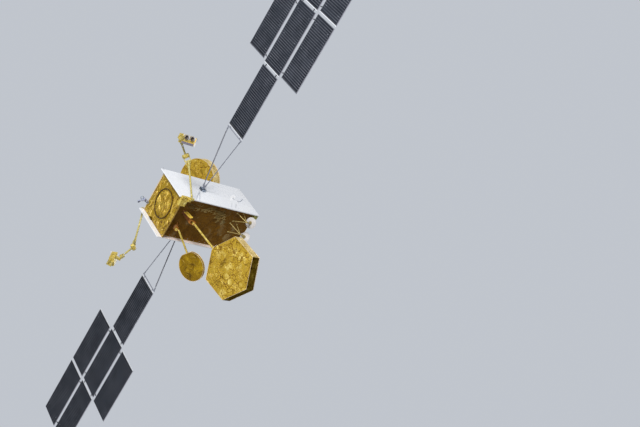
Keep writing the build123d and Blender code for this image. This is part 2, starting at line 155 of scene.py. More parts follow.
class Look:
    """One material: its shader, its slot, and the nodes that vary it."""
    def __init__(self, name, colour, roughness, metallic=0.0, coat=0.0, slot=None, gloss=0.5):
        self.material = bpy.data.materials.new(name)
        self.material.use_nodes = True
        self.slot = slot
        self.tree = self.material.node_tree
        self.shader = self.tree.nodes["Principled BSDF"]
        for socket, value in (
            ("Base Color", (*colour, 1)), ("Roughness", roughness), ("Metallic", metallic),
            ("Coat Weight", coat), ("Coat Roughness", 0.15), ("Specular IOR Level", gloss),
        ):
            self.shader.inputs[socket].default_value = value
        self.coords = self.tree.nodes.new("ShaderNodeTexCoord").outputs["Object"]

    def node(self, kind, inputs, **settings):
        """New node; each of its inputs gets a value, or a link from an output."""
        made = self.tree.nodes.new(kind)
        for name, value in settings.items():
            setattr(made, name, value)
        for name, value in inputs:
            if isinstance(value, (int, float, tuple)):
                made.inputs[name].default_value = value
            else:
                self.tree.links.new(value, made.inputs[name])
        return made

    def maths(self, operation, first, second):
        return self.node("ShaderNodeMath", [(0, first), (1, second)], operation=operation).outputs[0]

    def vector(self, operation, first, second):
        return self.node("ShaderNodeVectorMath", [(0, first), (1, second)], operation=operation).outputs

    def noise(self, scale, detail=4.0, vector=None, roughness=0.55, output="Fac"):
        return self.node("ShaderNodeTexNoise", [
            ("Vector", vector or self.coords), ("Scale", scale), ("Detail", detail), ("Roughness", roughness),
        ]).outputs[output]

    def warped(self, scale, amount, start=None):
        """Coordinates pushed about by a soft noise."""
        shift = self.vector("SUBTRACT", self.noise(scale, 3.0, output="Color"), half)[0]
        scaled = self.node("ShaderNodeVectorMath", [(0, shift), ("Scale", amount)], operation="SCALE")
        return self.vector("ADD", start or self.coords, scaled.outputs[0])[0]

    def ramp(self, source, stops):
        made = self.node("ShaderNodeValToRGB", [("Fac", source)])
        line = made.color_ramp
        while len(line.elements) < len(stops):
            line.elements.new(0.5)
        for element, (place, colour) in zip(line.elements, stops):
            element.position = place
            element.color = (*colour, 1)
        return made.outputs["Color"]

    def mixed(self, factor, first, second, blend="MIX"):
        colours = [(*colour, 1) if isinstance(colour, tuple) else colour for colour in (first, second)]
        inputs = [(0, factor), (6, colours[0]), (7, colours[1])]
        return self.node("ShaderNodeMix", inputs, data_type="RGBA", blend_type=blend).outputs[2]

    def drive(self, socket, source):
        self.tree.links.new(source, self.shader.inputs[socket])

    def rough(self, source, low, high):
        made = self.node("ShaderNodeMapRange", [("Value", source), ("To Min", low), ("To Max", high)])
        self.drive("Roughness", made.outputs[0])

    def bump(self, height, distance, strength=1.0):
        inputs = [("Height", height), ("Distance", distance), ("Strength", strength)]
        self.drive("Normal", self.node("ShaderNodeBump", inputs).outputs[0])


# Painted shade in the creases of the films and a painted highlight beside them, multiplied onto the colour
painted_crease_shade = (0.52, 0.42, 0.22)
painted_crease_highlight = (1.26, 1.28, 1.36)


def crinkled_foil(name, dark, middle, light, slot, fold, metallic=0.5, roughness=0.40, gloss=0.5, crease=1.0):
    """Metallised film: patches of uneven tone, partly random and partly painted facet shading, and broken
    creases with painted shade in them and a painted highlight beside them.
    """
    look = Look(name, middle, roughness, metallic, 0.0, slot, gloss)
    bent = look.warped(fold * 1.1, 0.45 / fold)
    bent_more = look.warped(fold * 3.5, 0.12 / fold, bent)
    # Painted facet shading: each facet gets a gradient along a random slope, lighter on one side and darker
    # on the other as if tilted to the light; the same value also raises the bump
    facets = look.node("ShaderNodeTexVoronoi", [("Vector", bent_more), ("Scale", fold * 1.7)]).outputs
    local = look.vector("SUBTRACT", bent_more, facets["Position"])[0]
    lean = look.vector("SUBTRACT", facets["Color"], half)[0]
    slope = look.vector("DOT_PRODUCT", local, lean)["Value"]
    facet_shade_and_relief = look.maths("MULTIPLY", slope, fold * 1.7)
    tone = look.maths("ADD", look.noise(fold, 5.0, bent, 0.62), look.maths("MULTIPLY", facet_shade_and_relief, 0.30))
    body = look.ramp(tone, [(0.30, dark), (0.44, middle), (0.54, middle), (0.68, light)])
    height = look.maths("ADD", facet_shade_and_relief, tone)
    for scale, width, low, force in (
        (fold, 0.034, 0.34, crease), (fold * 2.1, 0.062, 0.40, crease),
        (fold * 3.9, 0.090, 0.48, crease * 0.45),
    ):
        edge = look.node(
            "ShaderNodeTexVoronoi", [("Vector", bent_more), ("Scale", scale)], feature="DISTANCE_TO_EDGE",
        ).outputs["Distance"]
        broken = look.ramp(look.noise(fold * 0.9, 2.0, bent), [(low, black), (low + 0.05, (force,) * 3)])
        # Painted shade in each crease, then a painted highlight beside it
        shade = look.ramp(edge, [
            (0.0, painted_crease_shade), (width * 0.45, painted_crease_shade), (width * 0.8, white),
            (width * 1.3, painted_crease_highlight), (width * 2.2, white),
        ])
        body = look.mixed(1.0, body, look.mixed(broken, white, shade), "MULTIPLY")
        height = look.maths("ADD", height, look.maths("MULTIPLY", look.maths("MINIMUM", edge, 0.2), 2.0))
    look.drive("Base Color", body)
    look.bump(height, 0.03, 0.5)
    look.rough(look.noise(9.0), roughness - 0.06, roughness + 0.12)
    return look


def brushed(name, dark, light, roughness, metallic, slot, scale=14.0, relief=0.0006, gloss=0.5):
    """Painted, machined or moulded surface: soft tone changes, small grain and worn spots."""
    look = Look(name, light, roughness, metallic, 0.0, slot, gloss)
    look.drive("Base Color", look.ramp(look.noise(scale, 6.0), [(0.3, dark), (0.68, light)]))
    look.rough(look.noise(scale * 3, 3.0), roughness - 0.07, roughness + 0.1)
    look.bump(look.noise(scale * 12, 3.0), relief)
    return look


def mirror_tiles(name, slot):
    """Radiator of small white mirror tiles, 80 mm by 40 mm, with thin dull joints."""
    look = Look(name, (0.90, 0.91, 0.93), 0.22, 0.0, 0.35, slot)
    upright = look.node("ShaderNodeMapping", [("Vector", look.coords), ("Rotation", (math.pi / 2, 0, 0))])
    grid = look.node("ShaderNodeTexBrick", [
        ("Vector", upright.outputs[0]), ("Scale", 1.0), ("Brick Width", 0.08), ("Row Height", 0.04),
        ("Color1", (0.88, 0.89, 0.91, 1)), ("Color2", (0.92, 0.925, 0.935, 1)),
        ("Mortar", (0.66, 0.68, 0.72, 1)), ("Mortar Size", 0.0022), ("Mortar Smooth", 0.3),
    ], offset=0.0).outputs
    cloud = look.ramp(look.noise(0.9, 3.0), [(0.3, (0.93, 0.94, 0.97)), (0.7, white)])
    look.drive("Base Color", look.mixed(1.0, grid["Color"], cloud, "MULTIPLY"))
    look.bump(grid["Fac"], 0.0008, -0.5)
    return look


def woven(name, dark, light, pitch, roughness, slot):
    """Carbon weave: two crossed sets of thin threads."""
    look = Look(name, dark, roughness, 0.0, 0.25, slot)
    checks = look.node("ShaderNodeTexChecker", [
        ("Vector", look.coords), ("Color1", (*dark, 1)), ("Color2", (*light, 1)), ("Scale", 1 / pitch),
    ]).outputs
    cloud = look.ramp(look.noise(2.5, 4.0), [(0.3, (0.7,) * 3), (0.7, (1.15,) * 3)])
    look.drive("Base Color", look.mixed(1.0, checks["Color"], cloud, "MULTIPLY"))
    look.bump(checks["Fac"], 0.0004, 0.5)
    return look


# Foils: name, dark, middle and light tone, slot, fold scale, metallic, roughness, gloss, crease depth, which
# sets the strength of the painted shade and highlight at the creases
foils = (
    ("gold_foil", (0.20, 0.10, 0.003), (0.47, 0.30, 0.012), (0.82, 0.62, 0.10), "gold_blanket", 2.0),
    ("drum_foil", (0.30, 0.18, 0.006), (0.57, 0.37, 0.028), (0.86, 0.66, 0.16), "gold_blanket", 1.6),
    ("dull_foil", (0.13, 0.07, 0.001), (0.27, 0.155, 0.001), (0.46, 0.29, 0.01), "gold_blanket", 1.3,
     0.4, 0.45, 0.2, 0.35),
    # Darker brown copy of the gold film for the west wall, with shade painted into its colour
    ("shaded_wall_film", (0.10, 0.042, 0.002), (0.165, 0.075, 0.006), (0.27, 0.18, 0.070), "wall_blanket", 1.0,
     0.1, 0.55, 0.1, 0.30),
    # Dark brown copy of the gold film with shade painted in, for the hex's shaded walls and a painted shadow
    # on the aft deck
    ("brown_foil", (0.035, 0.020, 0.001), (0.11, 0.068, 0.006), (0.26, 0.19, 0.03), "gold_blanket", 2.4,
     0.0, 0.70, 0.0),
    # Light tan copy of the gold film with light painted in, for reflector walls shown as lit
    ("tan_foil", (0.44, 0.30, 0.08), (0.76, 0.58, 0.23), (0.95, 0.82, 0.48), "gold_blanket", 2.6, 0.2,
     0.5, 0.3, 0.6),
    ("shade_foil", (0.14, 0.13, 0.02), (0.34, 0.33, 0.08), (0.54, 0.53, 0.18), "gold_blanket", 5.0, 0.3,
     0.5, 0.3),
    ("wall_patch", (0.11, 0.065, 0.014), (0.205, 0.138, 0.042), (0.33, 0.25, 0.11), "wall_blanket", 2.2,
     0.1, 0.55, 0.1, 0.6),
    ("pale_foil", (0.38, 0.26, 0.03), (0.68, 0.52, 0.10), (0.92, 0.78, 0.26), "gold_blanket", 3.0, 0.2,
     0.45, 0.3, 0.8),
    ("boom_film", (0.30, 0.20, 0.02), (0.58, 0.43, 0.07), (0.84, 0.70, 0.24), "boom_gold", 6.0, 0.3,
     0.36, 0.5, 0.5),
    ("arm_film", (0.32, 0.27, 0.07), (0.54, 0.46, 0.15), (0.78, 0.71, 0.34), "boom_gold", 6.0, 0.2, 0.42,
     0.4, 0.5),
    ("head_film", (0.34, 0.25, 0.03), (0.66, 0.52, 0.12), (0.92, 0.80, 0.36), "head_gold", 6.0, 0.3,
     0.34, 0.5, 0.6),
    # Near-white gold, pushed bright; the boom root bars and the band at each head's end use it as a painted
    # highlight
    ("bracket_gold", (0.86, 0.50, 0.04), (1.0, 0.70, 0.10), (1.0, 0.86, 0.30), "bracket_orange", 6.0,
     0.0, 0.40, 0.2, 0.3),
)

# Plain surfaces: name, dark and light tone, roughness, metallic, slot, grain scale, relief, gloss
surfaces = (
    ("fold_brown", (0.09, 0.050, 0.012), (0.38, 0.265, 0.095), 0.6, 0.0, "wall_blanket", 2.0, 0.0006, 0.1),
    ("fold_dull", (0.12, 0.07, 0.004), (0.44, 0.29, 0.03), 0.5, 0.2, "gold_blanket", 3.0, 0.0006, 0.2),
    ("fold_gold", (0.34, 0.20, 0.01), (0.82, 0.62, 0.15), 0.42, 0.3, "gold_blanket", 2.5, 0.0006, 0.4),
    ("tape", (0.30, 0.18, 0.03), (0.48, 0.30, 0.07), 0.36, 0.6, "gold_blanket", 22.0, 0.001),
    ("cream_edge", (0.58, 0.42, 0.22), (0.78, 0.62, 0.40), 0.4, 0.3, "gold_blanket", 16.0),
    ("ring_metal", (0.05, 0.025, 0.006), (0.13, 0.07, 0.018), 0.42, 0.5, "ring_metal", 6.0),
    ("core_grey", (0.25, 0.25, 0.26), (0.35, 0.35, 0.36), 0.6, 0.3, "block"),
    ("drive_grey", (0.035, 0.045, 0.06), (0.09, 0.11, 0.14), 0.45, 0.5, "housing_grey"),
    ("orange", (0.17, 0.045, 0.004), (0.46, 0.18, 0.025), 0.42, 0.3, "bracket_orange", 9.0),
    ("yoke_grey", (0.16, 0.17, 0.21), (0.30, 0.31, 0.36), 0.38, 0.2, "yoke_grey", 10.0),
    ("cell_dark", (0.009, 0.011, 0.016), (0.024, 0.028, 0.038), 0.34, 0.0, "cell_dark", 1.6, 0.0006, 0.05),
    ("busbar", (0.052, 0.058, 0.070), (0.115, 0.12, 0.14), 0.5, 0.0, "cell_dark", 1.3, 0.0006, 0.0),
    ("bar_white", (0.66, 0.68, 0.72), (0.84, 0.86, 0.90), 0.35, 0.2, "yoke_grey", 18.0),
    ("edge_grey", (0.16, 0.17, 0.20), (0.26, 0.28, 0.33), 0.4, 0.3, "yoke_grey", 18.0),
    ("rail_lilac", (0.26, 0.26, 0.32), (0.40, 0.40, 0.47), 0.4, 0.1, "yoke_grey", 9.0),
    ("dish_white", (0.50, 0.48, 0.47), (0.62, 0.60, 0.59), 0.5, 0.0, "dish_white", 5.0, 0.0006, 0.25),
    ("strut_gold", (0.34, 0.25, 0.07), (0.56, 0.44, 0.17), 0.4, 0.5, "strut_gold", 20.0),
    ("blue_grey", (0.22, 0.27, 0.36), (0.42, 0.48, 0.58), 0.4, 0.4, "antenna_blue", 12.0),
    ("antenna_lilac", (0.20, 0.22, 0.32), (0.38, 0.41, 0.54), 0.45, 0.1, "antenna_blue", 14.0),
    ("horn_metal", (0.42, 0.41, 0.38), (0.62, 0.61, 0.57), 0.3, 0.8, "horn_metal", 12.0),
    ("bolt_steel", (0.34, 0.34, 0.35), (0.58, 0.58, 0.60), 0.3, 0.9, "ring_metal", 40.0),
    ("nozzle_dark", (0.06, 0.045, 0.03), (0.13, 0.11, 0.09), 0.5, 0.3, "head_gold", 30.0, 0.0006, 0.2),
    ("silver", (0.50, 0.51, 0.54), (0.74, 0.75, 0.78), 0.32, 0.7, "head_gold", 16.0),
    ("film_cream", (0.70, 0.57, 0.51), (0.92, 0.79, 0.73), 0.5, 0.0, "radiator_white", 2.0),
    ("patch_white", (0.93, 0.93, 0.94), (0.96, 0.96, 0.97), 0.3, 0.0, "radiator_white", 4.0),
    ("plate_white", (0.62, 0.61, 0.62), (0.80, 0.79, 0.80), 0.4, 0.2, "head_gold", 14.0),
    ("lilac_grey", (0.16, 0.14, 0.18), (0.30, 0.27, 0.32), 0.42, 0.2, "head_gold", 16.0),
    ("peach", (0.34, 0.16, 0.05), (0.56, 0.30, 0.12), 0.4, 0.2, "bracket_orange", 18.0),
    ("deep_red", (0.10, 0.028, 0.003), (0.24, 0.075, 0.008), 0.4, 0.4, "bracket_orange", 14.0),
    ("bowl_film", (0.36, 0.27, 0.10), (0.58, 0.46, 0.20), 0.42, 0.5, "gold_blanket", 8.0, 0.0004),
)

looks = {row[0]: crinkled_foil(*row) for row in foils}
looks.update({row[0]: brushed(*row) for row in surfaces})
looks["mirror_tiles"] = mirror_tiles("mirror_tiles", "radiator_white")
looks["carbon"] = woven("carbon", (0.016, 0.018, 0.022), (0.028, 0.031, 0.038), 0.012, 0.5, "cell_dark")


def dress(node, look):
    """Gives a CAD node its material."""
    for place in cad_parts[node].material_slots:
        place.material = looks[look].material


# Frames and flat outlines
def facing(origin, along, across=None):
    """Frame whose Z runs along a direction, as a matrix."""
    z = Vector(along).normalized()
    guide = Vector(across) if across is not None else Vector((0, 0, 1) if abs(z.z) < 0.9 else (1, 0, 0))
    x = (guide - z * guide.dot(z)).normalized()
    turn = Matrix((x, z.cross(x), z)).transposed()
    return Matrix.Translation(Vector(origin)) @ turn.to_4x4()


def rectangle(x0, x1, y0, y1):
    return [(x0, y0), (x1, y0), (x1, y1), (x0, y1)]


def circle(radius, count, x=0.0, y=0.0):
    turns = [2 * math.pi * i / count for i in range(count)]
    return [(x + radius * math.cos(t), y + radius * math.sin(t)) for t in turns]


def cropped(x, y, cut):
    """Rectangle about the origin with its four corners cut off, from its half sides."""
    return [
        (x, y - cut), (x - cut, y), (-x + cut, y), (-x, y - cut),
        (-x, -y + cut), (-x + cut, -y), (x - cut, -y), (x, -y + cut),
    ]


def walls_of(outline):
    """The straight runs of a closed outline, as pairs of points."""
    return zip(outline, outline[1:] + outline[:1])


def extent(outline):
    """Low and high x, low and high y."""
    return [limit(point[axis] for point in outline) for axis in (0, 1) for limit in (min, max)]


def inside(point, outline):
    """Whether a flat point lies inside a closed outline."""
    x, y = point
    found = False
    for (x0, y0), (x1, y1) in walls_of(outline):
        if (y0 > y) != (y1 > y) and x < (x1 - x0) * (y - y0) / (y1 - y0) + x0:
            found = not found
    return found


def on_film(point, outline, holes):
    """Whether a flat point lies inside an outline and outside its holes."""
    return inside(point, outline) and not any(inside(point, loop) for loop in holes)


def edge_points(outline, pitch):
    """Points along a closed outline, about one pitch apart."""
    found = []
    for (x0, y0), (x1, y1) in walls_of(outline):
        count = max(1, round(math.hypot(x1 - x0, y1 - y0) / pitch))
        found.extend((x0 + (x1 - x0) * i / count, y0 + (y1 - y0) * i / count) for i in range(count))
    return found


def edge_distance(point, loops):
    """Distance from a flat point to the nearest of some closed outlines."""
    x, y = point
    nearest = math.inf
    for loop in loops:
        for (x0, y0), (x1, y1) in walls_of(loop):
            dx, dy = x1 - x0, y1 - y0
            t = max(0.0, min(1.0, ((x - x0) * dx + (y - y0) * dy) / (dx * dx + dy * dy)))
            nearest = min(nearest, math.hypot(x - x0 - t * dx, y - y0 - t * dy))
    return nearest


def ring_faces(rings, sides):
    """Faces between neighbouring rings of points."""
    faces = []
    for low in range(0, (rings - 1) * sides, sides):
        for i in range(sides):
            j = (i + 1) % sides
            faces.append((low + i, low + j, low + sides + j, low + sides + i))
    return faces


def row_faces(rows):
    """Faces of a band with three points in each row."""
    return [(a, a + 3, a + 4, a + 1) for i in range(rows - 1) for a in (3 * i, 3 * i + 1)]


# Meshes: chamfer as a share of a box's half side, and the pitch of the rows in a tape
chamfer = 0.25
tape_step = 0.15


def piece(name, points, faces, look, body, smooth=False):
    data = bpy.data.meshes.new(name)
    data.from_pydata([tuple(p) for p in points], [], faces)
    data.materials.append(looks[look].material)
    data.update()
    if smooth:
        data.polygons.foreach_set("use_smooth", [True] * len(data.polygons))
    made = bpy.data.objects.new(name, data)
    bpy.context.scene.collection.objects.link(made)
    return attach(made, body)


class Parts:
    """Collects many small forms into one mesh."""
    def __init__(self):
        self.points = []
        self.faces = []

    def add(self, points, faces):
        base = len(self.points)
        self.points.extend(points)
        self.faces.extend(tuple(base + i for i in face) for face in faces)

    def box(self, place, sides, plane=Matrix()):
        """Box with small chamfers on its long edges; place and sides in the plane's axes."""
        x, y, z = (s / 2 for s in sides)
        cut = min(x, y, z) * chamfer
        points = []
        for level, inset in ((-z, cut), (-z + cut, 0.0), (z - cut, 0.0), (z, cut)):
            for px, py in cropped(x, y, cut):
                corner = Vector((px - math.copysign(inset, px), py - math.copysign(inset, py), level))
                points.append(plane @ (Vector(place) + corner))
        ends = [tuple(range(7, -1, -1)), tuple(range(24, 32))]
        self.add(points, ends + ring_faces(4, 8))

    def lathe(self, plane, profile, sides=24):
        """Turned form about the plane's Z axis; profile is (radius, height) from its start."""
        points = []
        for radius, height in profile:
            points.extend(plane @ Vector((x, y, height)) for x, y in circle(radius, sides))
        self.add(points, ring_faces(len(profile), sides))

    def tube(self, line, radius, sides=8):
        """Round tube along a list of points."""
        points = []
        for k, place in enumerate(line):
            ahead = line[min(k + 1, len(line) - 1)] - line[max(k - 1, 0)]
            plane = facing(place, ahead)
            points.extend(plane @ Vector((x, y, 0)) for x, y in circle(radius, sides))
        last = (len(line) - 1) * sides
        ends = [tuple(range(sides - 1, -1, -1)), tuple(range(last, last + sides))]
        self.add(points, ring_faces(len(line), sides) + ends)

    def strip(self, plane, line, width, height):
        """Flat tape along a list of flat points, with a slight crown."""
        for (x0, y0), (x1, y1) in zip(line, line[1:]):
            along = Vector((x1 - x0, y1 - y0, 0)).normalized()
            side = Vector((-along.y, along.x, 0)) * width / 2
            count = max(1, round(math.hypot(x1 - x0, y1 - y0) / tape_step))
            points = []
            for i in range(count + 1):
                middle = Vector((x0, y0, height)).lerp(Vector((x1, y1, height)), i / count)
                for offset, drop in ((-1, height * 0.7), (0, 0), (1, height * 0.7)):
                    points.append(plane @ (middle + side * offset - Vector((0, 0, drop))))
            self.add(points, row_faces(count + 1))

    def ridge(self, plane, start, end, width, height):
        """Loose fold in a film: it rises from the plane, and narrows and sinks at both ends."""
        first, last = Vector((*start, 0)), Vector((*end, 0))
        along = (last - first).normalized()
        side = Vector((-along.y, along.x, 0)) * width / 2
        steps = 6
        points = []
        for i in range(steps + 1):
            swell = 0.12 + 0.88 * math.sin(math.pi * i / steps)
            middle = first.lerp(last, i / steps)
            for offset, level in ((-1, 0.10), (0, 1.0), (1, 0.10)):
                rise = Vector((0, 0, height * level * swell))
                points.append(plane @ (middle + side * offset * swell + rise))
        self.add(points, row_faces(steps + 1))

    def build(self, name, look, body, smooth=False):
        return piece(name, self.points, self.faces, look, body, smooth)


def gather(name, look, body, form, items, smooth=False):
    """One piece made of many forms of a kind; each item holds what that form asks for."""
    parts = Parts()
    for item in items:
        form(parts, *item)
    parts.build(name, look, body, smooth)


def collar(tube, thick, bevel, end, length):
    """Profile of a collar round a tube, bevelled at both ends."""
    inner = tube + 0.001
    outer = tube + thick
    return [(inner, 0.0), (outer, bevel), (outer, end), (inner, length)]


# Films: bare edge and flat edge of the net, in its pitches; creases to a metre; loose folds' length and width
edge_gap = 0.35
flat_edge = 2.5
crease_scale = 2.3
fold_reach = (0.16, 0.48)
fold_spread = (0.8125, 1.6875)


def blanket(name, plane, outline, holes, look, body, pitch, rise, seed, lift=0.003):
    """Crumpled film over a flat outline: a net of triangles whose points stand up to rise off the plane."""
    dice = random.Random(seed)
    loops = [outline] + holes
    flat = []
    edges = []
    for loop in loops:
        rim = edge_points(loop, pitch)
        base = len(flat)
        flat.extend(rim)
        edges.extend((base + i, base + (i + 1) % len(rim)) for i in range(len(rim)))
    x0, x1, y0, y1 = extent(outline)
    for i in range(int((x1 - x0) / pitch) + 1):
        for j in range(int((y1 - y0) / pitch) + 1):
            spot = (x0 + (i + dice.random()) * pitch, y0 + (j + dice.random()) * pitch)
            if on_film(spot, outline, holes) and edge_distance(spot, loops) > pitch * edge_gap:
                flat.append(spot)
    net = delaunay_2d_cdt([Vector(p) for p in flat], edges, [], 0, 1e-5)
    points = []
    for x, y in net[0]:
        swell = min(1.0, edge_distance((x, y), loops) / (flat_edge * pitch))
        crease = abs(noise.noise(Vector((x * crease_scale, y * crease_scale, seed * 7.1))))
        height = lift + rise * swell * (0.35 * dice.random() + 0.65 * (1 - min(1.0, 2.4 * crease)))
        points.append(plane @ Vector((x, y, height)))
    faces = []
    for face in net[2]:
        middle = [sum(net[0][i][axis] for i in face) / 3 for axis in (0, 1)]
        if on_film(middle, outline, holes):
            faces.append(tuple(face))
    return piece(name, points, faces, look, body)


def loose_folds(name, plane, outline, holes, count, turns, look, body, seed, height, width):
    """Short standing folds scattered over a film; turns is the range of their headings."""
    folds = Parts()
    dice = random.Random(seed)
    x0, x1, y0, y1 = extent(outline)
    made = 0
    while made < count:
        x, y = dice.uniform(x0, x1), dice.uniform(y0, y1)
        turn = dice.uniform(*turns)
        reach = dice.uniform(*fold_reach)
        dx, dy = reach * math.cos(turn), reach * math.sin(turn)
        spots = [(x + dx * t / 4, y + dy * t / 4) for t in range(5)]
        if all(on_film(spot, outline, holes) for spot in spots):
            folds.ridge(plane, spots[0], spots[4], width * dice.uniform(*fold_spread), height)
            made += 1
    folds.build(name, look, body)


# Body: blankets, tape and buttons
def body_plane(face):
    """Outward frame of a body face: its X and Y run along the face."""
    low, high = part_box("aft_deck")[0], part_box("earth_deck")[1]
    places = {
        "aft": ((0, 0, low.z), (0, 0, -1), (1, 0, 0)),
        "earth": ((0, 0, high.z), (0, 0, 1), (1, 0, 0)),
        "west": ((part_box("west_wall")[0].x, 0, 0), (-1, 0, 0), (0, 0, 1)),
        "east": ((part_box("east_wall")[1].x, 0, 0), (1, 0, 0), (0, 0, 1)),
    }
    origin, outward, across = places[face]
    return facing(origin, outward, across)


def hole(z, y, height, width):
    return rectangle(z - height / 2, z + height / 2, y - width / 2, y + width / 2)


dish_feet = [
    (1.052, 3.902), (1.103, 4.317), (0.522, 3.906), (0.354, 3.810), (0.364, 4.270), (-0.200, 3.980),
]
wall_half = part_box("aft_deck")[1].y
aft_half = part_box("aft_deck")[1].x
deck_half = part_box("earth_deck")[1].x
wall_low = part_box("west_wall")[0].z
deck_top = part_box("earth_deck")[1].z
ring_outer = 0.838
ring_inner = 0.784
body_faces = (
    ("aft", -aft_half, aft_half), ("earth", -deck_half, deck_half),
    ("west", wall_low, deck_top), ("east", wall_low, deck_top),
)


def make_body_blankets():
    """Films over the body's faces, with holes where feet, brackets and horns stand."""
    wall = rectangle(wall_low, deck_top, -wall_half, wall_half)
    west_holes = [hole(z, y, 0.10, 0.10) for y, z in dish_feet]
    west_holes += [hole(z, y, 0.05, 0.05) for y, z in ((-0.34, 0.64), (-0.43, 0.80))]
    for place in ((0.69, 0.38, 0.26, 0.20), (0.579, -0.587, 0.14, 0.23), (0.12, 1.10, 0.20, 0.42)):
        west_holes.append(hole(*place))
    east_holes = [hole(4.0, -0.244, 0.14, 0.23), hole(0.303, 1.20, 0.16, 0.24)]
    aft = rectangle(-aft_half, aft_half, -wall_half, wall_half)
    aft_holes = [circle(ring_outer, 72), rectangle(1.228, 1.352, 0.768, 0.892)]
    earth = rectangle(-deck_half, deck_half, -wall_half, wall_half)
    horns = [circle(0.08, 16, -0.32, -0.28), circle(0.08, 16, 0.32, -0.28), circle(0.10, 16, 0.0, 0.33)]
    for name, face, outline, holes, look, pitch, rise, seed in (
        # The west wall gets the darker copy of the film, with shade painted in
        ("west", "west", wall, west_holes, "shaded_wall_film", 0.17, 0.035, 3),
        ("east", "east", wall, east_holes, "gold_foil", 0.17, 0.035, 4),
        ("aft", "aft", aft, aft_holes, "gold_foil", 0.15, 0.035, 5),
        ("ring", "aft", circle(ring_inner, 66), [], "gold_foil", 0.15, 0.036, 6),
        ("earth", "earth", earth, horns, "gold_foil", 0.10, 0.025, 7),
    ):
        blanket(name + "_blanket", body_plane(face), outline, holes, look, "bus", pitch, rise, seed)
    for side, name, north_end in ((1, "east", wall_half), (-1, "west", 0.88)):
        lip = facing((side * deck_half, 0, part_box("aft_deck")[1].z), (0, 0, 1), (1, 0, 0))
        width = side * (aft_half - deck_half)
        span = rectangle(min(0, width), max(0, width), -wall_half, north_end)
        blanket(f"lip_blanket_{name}", lip, span, [], "gold_foil", "bus", 0.10, 0.02, 8)


def make_wall_folds():
    """Paler film over the north part of the west wall, and the loose folds of the body's films."""
    west = body_plane("west")
    patch = [
        (0.45, 0.95), (1.60, 1.10), (3.05, 1.12), (3.40, 0.70), (3.75, 0.30), (3.65, 0.05), (3.00, 0.02),
        (2.60, 0.30), (2.10, 0.62), (1.25, 0.50), (0.80, 0.60),
    ]
    blanket("west_upper_film", west, patch, [], "wall_patch", "bus", 0.12, 0.050, 9, lift=-0.004)
    aft = body_plane("aft")
    edge = rectangle(0.1 - aft_half, aft_half - 0.1, 0.08 - wall_half, wall_half - 0.08)
    holes = [circle(0.90, 40), rectangle(1.20, 1.38, 0.74, 0.92)]
    ring = circle(0.74, 40)
    for name, plane, outline, gaps, count, turns, look, seed, height, width in (
        ("west", west, patch, [], 75, (-0.3, 1.3), "fold_brown", 12, 0.060, 0.060),
        ("aft", aft, edge, holes, 80, (0.7, 2.2), "fold_gold", 13, 0.055, 0.046),
        ("ring", aft, ring, [], 54, (0.4, 2.4), "fold_gold", 14, 0.055, 0.040),
    ):
        label = name + "_film_folds"
        loose_folds(label, plane, outline, gaps, count, turns, look, "bus", seed, height, width)


def make_tape():
    """Taped seams along the body's edges and across the east blanket, and a light diagonal strip across the
    west wall.
    """
    inset = 0.02
    edges = []
    for face, low, high in body_faces:
        corners = rectangle(low + inset, high - inset, -wall_half + inset, wall_half - inset)
        edges.append((body_plane(face), corners + corners[:1], 0.045, 0.010))
    gather("edge_tape", "tape", "bus", Parts.strip, edges)
    reach = wall_half - 0.04
    # A light diagonal strip across the west wall
    cross_strips = [(body_plane("west"), [(0.606, 0.857), (1.343, 0.565)], 0.04, 0.036)]
    cross_strips += [(body_plane("east"), [(z, -reach), (z, reach)], 0.05, 0.036) for z in (1.9, 3.4)]
    gather("cross_strip_tape", "tape", "bus", Parts.strip, cross_strips)
    z = (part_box("aft_deck")[0].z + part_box("aft_deck")[1].z) / 2
    lips = [((side * (aft_half + 0.004), 0.0, z), (0.012, 2 * wall_half, 0.05)) for side in (1, -1)]
    gather("deck_edge_strips", "tape", "bus", Parts.box, lips)
    edge = aft_half - 0.03
    cream = (body_plane("aft"), [(edge, -reach), (edge, reach)], 0.06, 0.040)
    gather("aft_edge_strip", "cream_edge", "bus", Parts.strip, [cream])


def make_antenna_detail():
    """Sleeves and cable that fill out the small antenna on the aft deck."""
    foot = Vector((1.290, -0.830, 0.020))
    ring = Vector((1.330, -0.637, -0.449))
    arm = Vector((1.330, -0.900, -0.545))
    along = ring - foot
    root = foot + along * 0.6
    branch = arm - root
    face = Vector((-1.0, 0.1, -0.05)).normalized()
    gather("aft_antenna_sleeves", "antenna_lilac", "bus", Parts.lathe, [
        (facing(start, way), profile) for start, way, profile in (
            (foot + along * 0.14, along, [(0.056, 0.0), (0.084, 0.010), (0.078, 0.12), (0.052, 0.13)]),
            (foot + along * 0.46, along, [(0.050, 0.0), (0.092, 0.020), (0.096, 0.15), (0.044, 0.17)]),
            (root + branch * 0.10, branch, collar(0.026, 0.040, 0.015, 0.11, 0.13)),
            (root + branch * 0.60, branch, collar(0.026, 0.030, 0.010, 0.09, 0.10)),
            (arm + face * 0.004, face, [(0.0485, 0.0), (0.068, 0.008), (0.072, 0.05), (0.0485, 0.056)]),
        )
    ], True)
    line = [foot.lerp(ring, t / 8) + Vector((-0.06 - 0.012 * (t % 2), -0.03, 0.0)) for t in range(1, 8)]
    gather("aft_antenna_cable", "blue_grey", "bus", Parts.tube, [(line, 0.010)], True)


def make_aft_shadow():
    """Dark brown folded strips at the aft deck's south edge, a painted shadow where the film gaps."""
    plane = body_plane("aft")
    shadow_strips = []
    for x, y, reach, height in (
        (0.42, 1.30, 0.17, 0.044), (0.36, 1.25, 0.13, 0.048), (0.30, 1.20, 0.08, 0.052),
    ):
        shadow_strips.append((plane, [(x - reach, y), (x + reach, y - 0.04)], 0.07, height))
    gather("aft_painted_shadow", "brown_foil", "bus", Parts.strip, shadow_strips)


